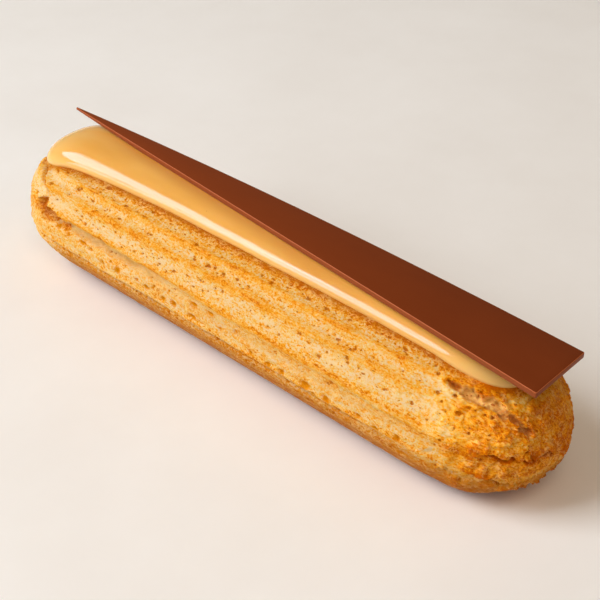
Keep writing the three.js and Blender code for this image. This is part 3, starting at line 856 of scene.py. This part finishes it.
# Caramel icing
# A warm fondant poured along the crown, which ran to a thick rounded edge and set glossy.
# It sits on the crust all round and carries the chocolate.
ICING_THICKNESS = 2.32
ICING_SUNK = 0.45
EDGE_ROUNDNESS = 3.3
EDGE_CROWDING = 0.75
EDGE_WAVE = 0.12
EDGE_SMALL_WAVE = 0.02
EDGE_WAVE_WIDTH = 4  # half width of the icing below which the waves shrink with it
EDGE_APART = 9  # keeps the waves of the two edges unlike
TOP_SAG = 0.01
ICING_AROUND = 128
ICING_RIGHT_RINGS = 64
ICING_MIDDLE_RINGS = 260
ICING_LEFT_RINGS = 60
ICING_ALONG = ICING_RIGHT_RINGS + ICING_MIDDLE_RINGS + ICING_LEFT_RINGS
BLADE_TIP_X = -67.3  # the edge of the chocolate along which the icing is darkened by painted shade
BLADE_TIP_Y = 4.2
BLADE_TIP_WIDTH = 0.4
BLADE_NEAR = -9.8


def crown_surface(x, y):
    """The bar's crown above places in plan: points and outward normals."""
    over = np.maximum(0, x - RIGHT_AXIS) / RIGHT_END + np.minimum(0, x - LEFT_AXIS) / LEFT_END
    across = y / BAR_HALF_WIDTH
    up = (1 - np.abs(over) ** TOP_FULLNESS - np.abs(across) ** TOP_FULLNESS) ** (1 / TOP_FULLNESS)
    unit = np.stack([over, across, up], axis=1)
    size = np.stack([np.where(over < 0, LEFT_END, RIGHT_END), np.full(len(x), BAR_HALF_WIDTH),
                     np.full(len(x), CROWN - WAIST)], axis=1)
    normal = np.sign(unit) * np.abs(unit) ** (TOP_FULLNESS - 1) / size
    points = np.stack([x, y, WAIST + (CROWN - WAIST) * up], axis=1)
    return points, normal / np.linalg.norm(normal, axis=1, keepdims=True)


icing, ring, column = ball("caramel_icing", ICING_AROUND, ICING_ALONG)
run, lean = along_bar(ring, ICING_RIGHT_RINGS, ICING_MIDDLE_RINGS, ICING_LEFT_RINGS)
turn = column / ICING_AROUND * 2 * math.pi
to_end = np.sin(lean)
squareness = np.where(to_end < 0, ICING_LEFT_SQUARENESS, ICING_RIGHT_SQUARENESS)
end_length = np.where(to_end < 0, ICING_LEFT_END, ICING_RIGHT_END)
x = lerp(ICING_LEFT_AXIS, ICING_RIGHT_AXIS, run) + end_length * to_end
half_width = icing_half_width(x) * (1 - np.abs(to_end) ** squareness) ** (1 / squareness)
on_top = np.sin(turn) > 0
cosine = np.cos(turn)
across = np.where(on_top, np.sign(cosine) * np.abs(cosine) ** EDGE_CROWDING, cosine)
wavy = np.stack([x, np.sign(across) * EDGE_APART, np.zeros(len(x))], axis=1)
wave = EDGE_WAVE * grain(wavy, (14, 9, 9), 20) + EDGE_SMALL_WAVE * grain(wavy, (4, 9, 9), 21)
y = across * (half_width + wave * np.minimum(1, half_width / EDGE_WAVE_WIDTH))
points, normal = crown_surface(x, y)
reach = np.minimum(1, icing_reach(x, across * half_width))
rise = np.where(on_top, ICING_THICKNESS * np.sqrt(1 - reach**EDGE_ROUNDNESS), -ICING_SUNK)
sag = TOP_SAG * grain(points, (20, 8, 8), 22) * on_top * (1 - reach**4)
lay(icing, points + normal * (rise + sag)[:, None])
bpy.ops.object.shade_smooth()

# The caramel is paler at its thinner edge, which is partly its own colour and partly painted sheen, and paler
# at its ends as painted light; along the chocolate it is darkened as painted shade from the plate.
blade_share = (x - BLADE_TIP_X) / (BLADE_END - BLADE_TIP_X)
to_blade = lerp(BLADE_TIP_Y - BLADE_TIP_WIDTH / 2, BLADE_NEAR, blade_share) - y
# Paler at the edge, partly thinner caramel and partly painted sheen, and at both ends as painted light
thin_and_sheen = mixed([
    (0.6, smoothstep(reach, 0.8, 0.99)),
    (0.8, smoothstep(x, 46, 60)),
    (0.9, smoothstep(-x, 52, 63)),
])
# Painted shade: the icing darkens towards the chocolate's near edge
painted_blade_shade = 0.5 * (1 - smoothstep(to_blade, 0, 4)) * (1 - 0.8 * smoothstep(x, 5, 40)) * smoothstep(x, -64, -36)
store(icing, {"thin_and_sheen": np.clip(thin_and_sheen, 0, 1), "painted_blade_shade": painted_blade_shade})

THIN_CARAMEL_AND_SHEEN = linear(241, 192, 110)
BLADE_SHADE_CARAMEL = linear(190, 120, 44)
CARAMEL_SPECK = linear(150, 84, 30)
caramel, nodes, surface = new_material("caramel_fondant")
place = add(nodes, "ShaderNodeTexCoord").outputs["Object"]
cloud = noisy(nodes, place, (60, 160, 160), 3.0, 0.5).outputs["Fac"]
caramel_colour = add(nodes, "ShaderNodeValToRGB")
stops(caramel_colour, [(0.3, linear(234, 170, 77)), (0.7, linear(240, 178, 87))])
join(nodes, (cloud, caramel_colour.inputs["Fac"]))
speck = add(nodes, "ShaderNodeTexVoronoi", {"Scale": 210.0}, feature="F1")
speck_pick = add(nodes, "ShaderNodeSeparateColor")
join(nodes, (place, speck.inputs["Vector"]), (speck.outputs["Color"], speck_pick.inputs["Color"]))
speck_reach = maths(nodes, "MULTIPLY", maths(nodes, "SUBTRACT", speck_pick.outputs["Green"], 0.82), 0.28)
speck_gap = maths(nodes, "SUBTRACT", speck_reach, speck.outputs["Distance"])
speck_share = maths(nodes, "MULTIPLY", ranged(nodes, speck_gap, -0.01, 0.02), 0.7)
# Thinner caramel and painted sheen
colour = blend(nodes, attribute_of(nodes, "thin_and_sheen"), caramel_colour.outputs[0], THIN_CARAMEL_AND_SHEEN)
# Painted shade from the chocolate plate
colour = blend(nodes, attribute_of(nodes, "painted_blade_shade"), colour, BLADE_SHADE_CARAMEL)
colour = blend(nodes, speck_share, colour, CARAMEL_SPECK)
join(nodes, (colour, surface.inputs["Base Color"]))
join(nodes, (ranged(nodes, cloud, 0.3, 0.7, 0.07, 0.13), surface.inputs["Roughness"]))
surface.inputs["Specular IOR Level"].default_value = 0.5
surface.inputs["Subsurface Weight"].default_value = 0.2
surface.inputs["Subsurface Radius"].default_value = (1.0, 0.45, 0.15)
surface.inputs["Subsurface Scale"].default_value = 1.2 * MM
icing.data.materials.append(caramel)
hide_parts("glaze")
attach(icing, "root")

# Chocolate plate
# A thin blade of tempered milk chocolate, cut from a spread sheet with a knife.
# It lies on the icing along its crown, its tip and its square end standing a little clear of it.
BLADE_FAR = 5.6
BLADE_BOW_X = 2
BLADE_BOW_Y = 8.4
BLADE_THICKNESS = 1.3
BLADE_TIP_THICKNESS = 0.6
BLADE_TAPER_START = -42
BLADE_EDGE = 0.24
BLADE_STEPS = 96
BLADE_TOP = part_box("blade")[1].z / MM
BLADE_START = Vector((BLADE_TIP_X, BLADE_TIP_Y + BLADE_TIP_WIDTH / 2, 0))
BLADE_BOW = Vector((BLADE_BOW_X, BLADE_BOW_Y, 0))
BLADE_CORNER = Vector((BLADE_END, BLADE_FAR, 0))
FLAT_FACE = 0.95  # rise of a face's normal on the flat sides, and on the bevel of the upper edge
UPPER_BEVEL = 0.3
SIDE_EDGE_LIGHT = 0.25  # share of the painted edge light on the sides, all of which is on the upper bevel

bpy.ops.object.select_all(action="DESELECT")
bpy.ops.mesh.primitive_grid_add(x_subdivisions=BLADE_STEPS, y_subdivisions=1, size=2)
blade = bpy.context.object
blade.name = blade.data.name = "chocolate_blade"
for vertex in blade.data.vertices:
    share = (vertex.co.x + 1) / 2
    if vertex.co.y < 0:
        near = lerp(BLADE_TIP_Y - BLADE_TIP_WIDTH / 2, BLADE_NEAR, share)
        vertex.co = Vector((lerp(BLADE_TIP_X, BLADE_END, share), near, 0))
    else:
        vertex.co = BLADE_START.lerp(BLADE_BOW, share).lerp(BLADE_BOW.lerp(BLADE_CORNER, share), share)
bpy.ops.object.mode_set(mode="EDIT")
bpy.ops.mesh.select_all(action="SELECT")
bpy.ops.mesh.extrude_region_move(TRANSFORM_OT_translate={"value": (0, 0, -BLADE_THICKNESS)})
bpy.ops.mesh.select_all(action="SELECT")
bpy.ops.mesh.normals_make_consistent(inside=False)
bpy.ops.object.mode_set(mode="OBJECT")
places = np.empty(3 * len(blade.data.vertices))
blade.data.vertices.foreach_get("co", places)
places = places.reshape(-1, 3)
to_tip = np.clip((BLADE_TAPER_START - places[:, 0]) / (BLADE_TAPER_START - BLADE_TIP_X), 0, 1)
places[:, 2] = BLADE_TOP + places[:, 2] * lerp(1, BLADE_TIP_THICKNESS / BLADE_THICKNESS, to_tip)
lay(blade, places)
rounding = blade.modifiers.new("knife_edge", "BEVEL")
rounding.width = BLADE_EDGE * MM
rounding.segments = 3
rounding.limit_method = "ANGLE"
rounding.angle_limit = math.radians(40)
bpy.ops.object.modifier_apply(modifier=rounding.name)
bpy.ops.object.shade_smooth_by_angle(angle=math.radians(35))
# Painted light: the upper bevel gets a bright highlight colour, the sides a little of it and the flat faces
# none
edge_light = blade.data.attributes.new(name="painted_edge_light", type="FLOAT", domain="FACE")
for face in blade.data.polygons:
    if abs(face.normal.z) > FLAT_FACE:
        edge_light.data[face.index].value = 0.0
    elif face.normal.z > UPPER_BEVEL:
        edge_light.data[face.index].value = 1.0
    else:
        edge_light.data[face.index].value = SIDE_EDGE_LIGHT

WIDE_END_CHOCOLATE = linear(108, 47, 14)
LIT_TIP_CHOCOLATE = linear(142, 66, 28)
EDGE_HIGHLIGHT_CHOCOLATE = linear(198, 110, 64)
PALER_FROM = 60 * MM
PALER_TO = -60 * MM
chocolate, nodes, surface = new_material("milk_chocolate")
place = add(nodes, "ShaderNodeTexCoord").outputs["Object"]
bloom = noisy(nodes, place, (40, 90, 90), 4.0, 0.6).outputs["Fac"]
powder = add(nodes, "ShaderNodeTexNoise", {"Scale": 2600.0, "Detail": 3.0, "Roughness": 0.6})
join(nodes, (place, powder.inputs["Vector"]))
powdery = powder.outputs["Fac"]
tone = maths(nodes, "ADD", maths(nodes, "MULTIPLY", bloom, 0.8), maths(nodes, "MULTIPLY", powdery, 0.2))
chocolate_colour = add(nodes, "ShaderNodeValToRGB")
stops(chocolate_colour, [(0.3, linear(112, 47, 16)), (0.7, linear(126, 56, 21))])
join(nodes, (tone, chocolate_colour.inputs["Fac"]))
along = add(nodes, "ShaderNodeSeparateXYZ")
join(nodes, (place, along.inputs[0]))
# Painted light: the plate is paler towards its tip, on the side the light comes from
painted_tip_light = ranged(nodes, along.outputs["X"], PALER_FROM, PALER_TO)
colour = blend(nodes, painted_tip_light, WIDE_END_CHOCOLATE, LIT_TIP_CHOCOLATE)
colour = blend(nodes, 0.5, colour, chocolate_colour.outputs[0])
# Painted highlight on the upper bevel
colour = blend(nodes, attribute_of(nodes, "painted_edge_light"), colour, EDGE_HIGHLIGHT_CHOCOLATE)
join(nodes, (colour, surface.inputs["Base Color"]))
join(nodes, (ranged(nodes, tone, 0.3, 0.7, 0.36, 0.48), surface.inputs["Roughness"]))
fine_bump = add(nodes, "ShaderNodeBump", {"Strength": 0.12, "Distance": 0.1 * MM})
join(nodes, (powdery, fine_bump.inputs["Height"]), (fine_bump.outputs[0], surface.inputs["Normal"]))
surface.inputs["Specular IOR Level"].default_value = 0.08
blade.data.materials.append(chocolate)
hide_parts("blade")
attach(blade, "root")

# Floor
# A plain pale worktop with a faint cloudy tone, matt and seamless.
FLOOR_SIZE = 6
bpy.ops.object.select_all(action="DESELECT")
bpy.ops.mesh.primitive_plane_add(size=FLOOR_SIZE)
floor = bpy.context.object
floor.name = "floor"
stone, nodes, surface = new_material("pale_worktop")
place = add(nodes, "ShaderNodeTexCoord").outputs["Object"]
cloud = add(nodes, "ShaderNodeTexNoise", {"Scale": 22.0, "Detail": 5.0, "Roughness": 0.6})
join(nodes, (place, cloud.inputs["Vector"]))
stone_colour = add(nodes, "ShaderNodeValToRGB")
stops(stone_colour, [(0.3, linear(244, 242, 238)), (0.7, linear(249, 248, 245))])
join(nodes, (cloud.outputs["Fac"], stone_colour.inputs["Fac"]))
join(nodes, (stone_colour.outputs[0], surface.inputs["Base Color"]))
surface.inputs["Roughness"].default_value = 0.7
surface.inputs["Specular IOR Level"].default_value = 0.2
floor.data.materials.append(stone)

# Studio light
# A large soft box from the front left, a low fill below it, a weak warm one from the right, two that show
# only as a shine on the icing, and a pale room.
# Each is given by its elevation and azimuth in degrees, its width and height in metres, and its watts.
LAMP_DISTANCE = 1.2
AIM = Vector((0, 0, 0.02))


def soft_box(name, elevation, azimuth, width, height, watts, colour):
    bpy.ops.object.light_add(type="AREA")
    lamp = bpy.context.object
    lamp.name = name
    lamp.data.shape = "RECTANGLE"
    lamp.data.size = width
    lamp.data.size_y = height
    lamp.data.energy = watts
    lamp.data.color = colour
    level = math.cos(math.radians(elevation))
    towards = Vector((level * math.cos(math.radians(azimuth)), level * math.sin(math.radians(azimuth)),
                      math.sin(math.radians(elevation))))
    lamp.location = AIM + towards * LAMP_DISTANCE
    lamp.rotation_euler = towards.to_track_quat("Z", "Y").to_euler()
    return lamp


LAMP_COLOUR = (0.98, 1.02, 1.07)
WARM_COLOUR = (1, 0.72, 0.48)
SHINE_COLOUR = (0.75, 0.82, 1.12)
soft_box("key_soft_box", 42, 230, 0.64, 0.64, 10.7, LAMP_COLOUR).visible_glossy = False
soft_box("low_fill", 18, 240, 0.6, 0.6, 2.4, LAMP_COLOUR).visible_glossy = False
soft_box("right_fill", 58, 322, 0.5, 0.5, 3, WARM_COLOUR).visible_glossy = False
soft_box("front_shine", 28.5, 235, 0.395, 0.66, 5.9, SHINE_COLOUR).visible_diffuse = False
soft_box("left_shine", 38.5, 207, 0.66, 0.36, 6, SHINE_COLOUR).visible_diffuse = False
room = bpy.data.worlds.new("room")
room.use_nodes = True
walls = room.node_tree.nodes["Background"]
walls.inputs["Color"].default_value = (1, 0.87, 0.72, 1)
walls.inputs["Strength"].default_value = 0.25
bpy.context.scene.world = room
bpy.context.scene.view_settings.view_transform = "Standard"

# Camera
# Looks down along the bar from its right front, as the eclair is usually shown.
CAMERA_AZIMUTH = math.radians(42.378)
CAMERA_ELEVATION = math.radians(36.271)
CAMERA_DISTANCE = 273.551 * MM
CAMERA_TARGET = Vector((7.912, 0, 16.098)) * MM + Vector(CENTRING) * MM
back = Vector((math.sin(CAMERA_AZIMUTH) * math.cos(CAMERA_ELEVATION),
               -math.cos(CAMERA_AZIMUTH) * math.cos(CAMERA_ELEVATION), math.sin(CAMERA_ELEVATION)))
bpy.ops.object.camera_add(location=CAMERA_TARGET + back * CAMERA_DISTANCE)
camera = bpy.context.object
camera.rotation_euler = back.to_track_quat("Z", "Y").to_euler()
camera.data.lens = 78
camera.data.sensor_width = 36
bpy.context.scene.camera = camera
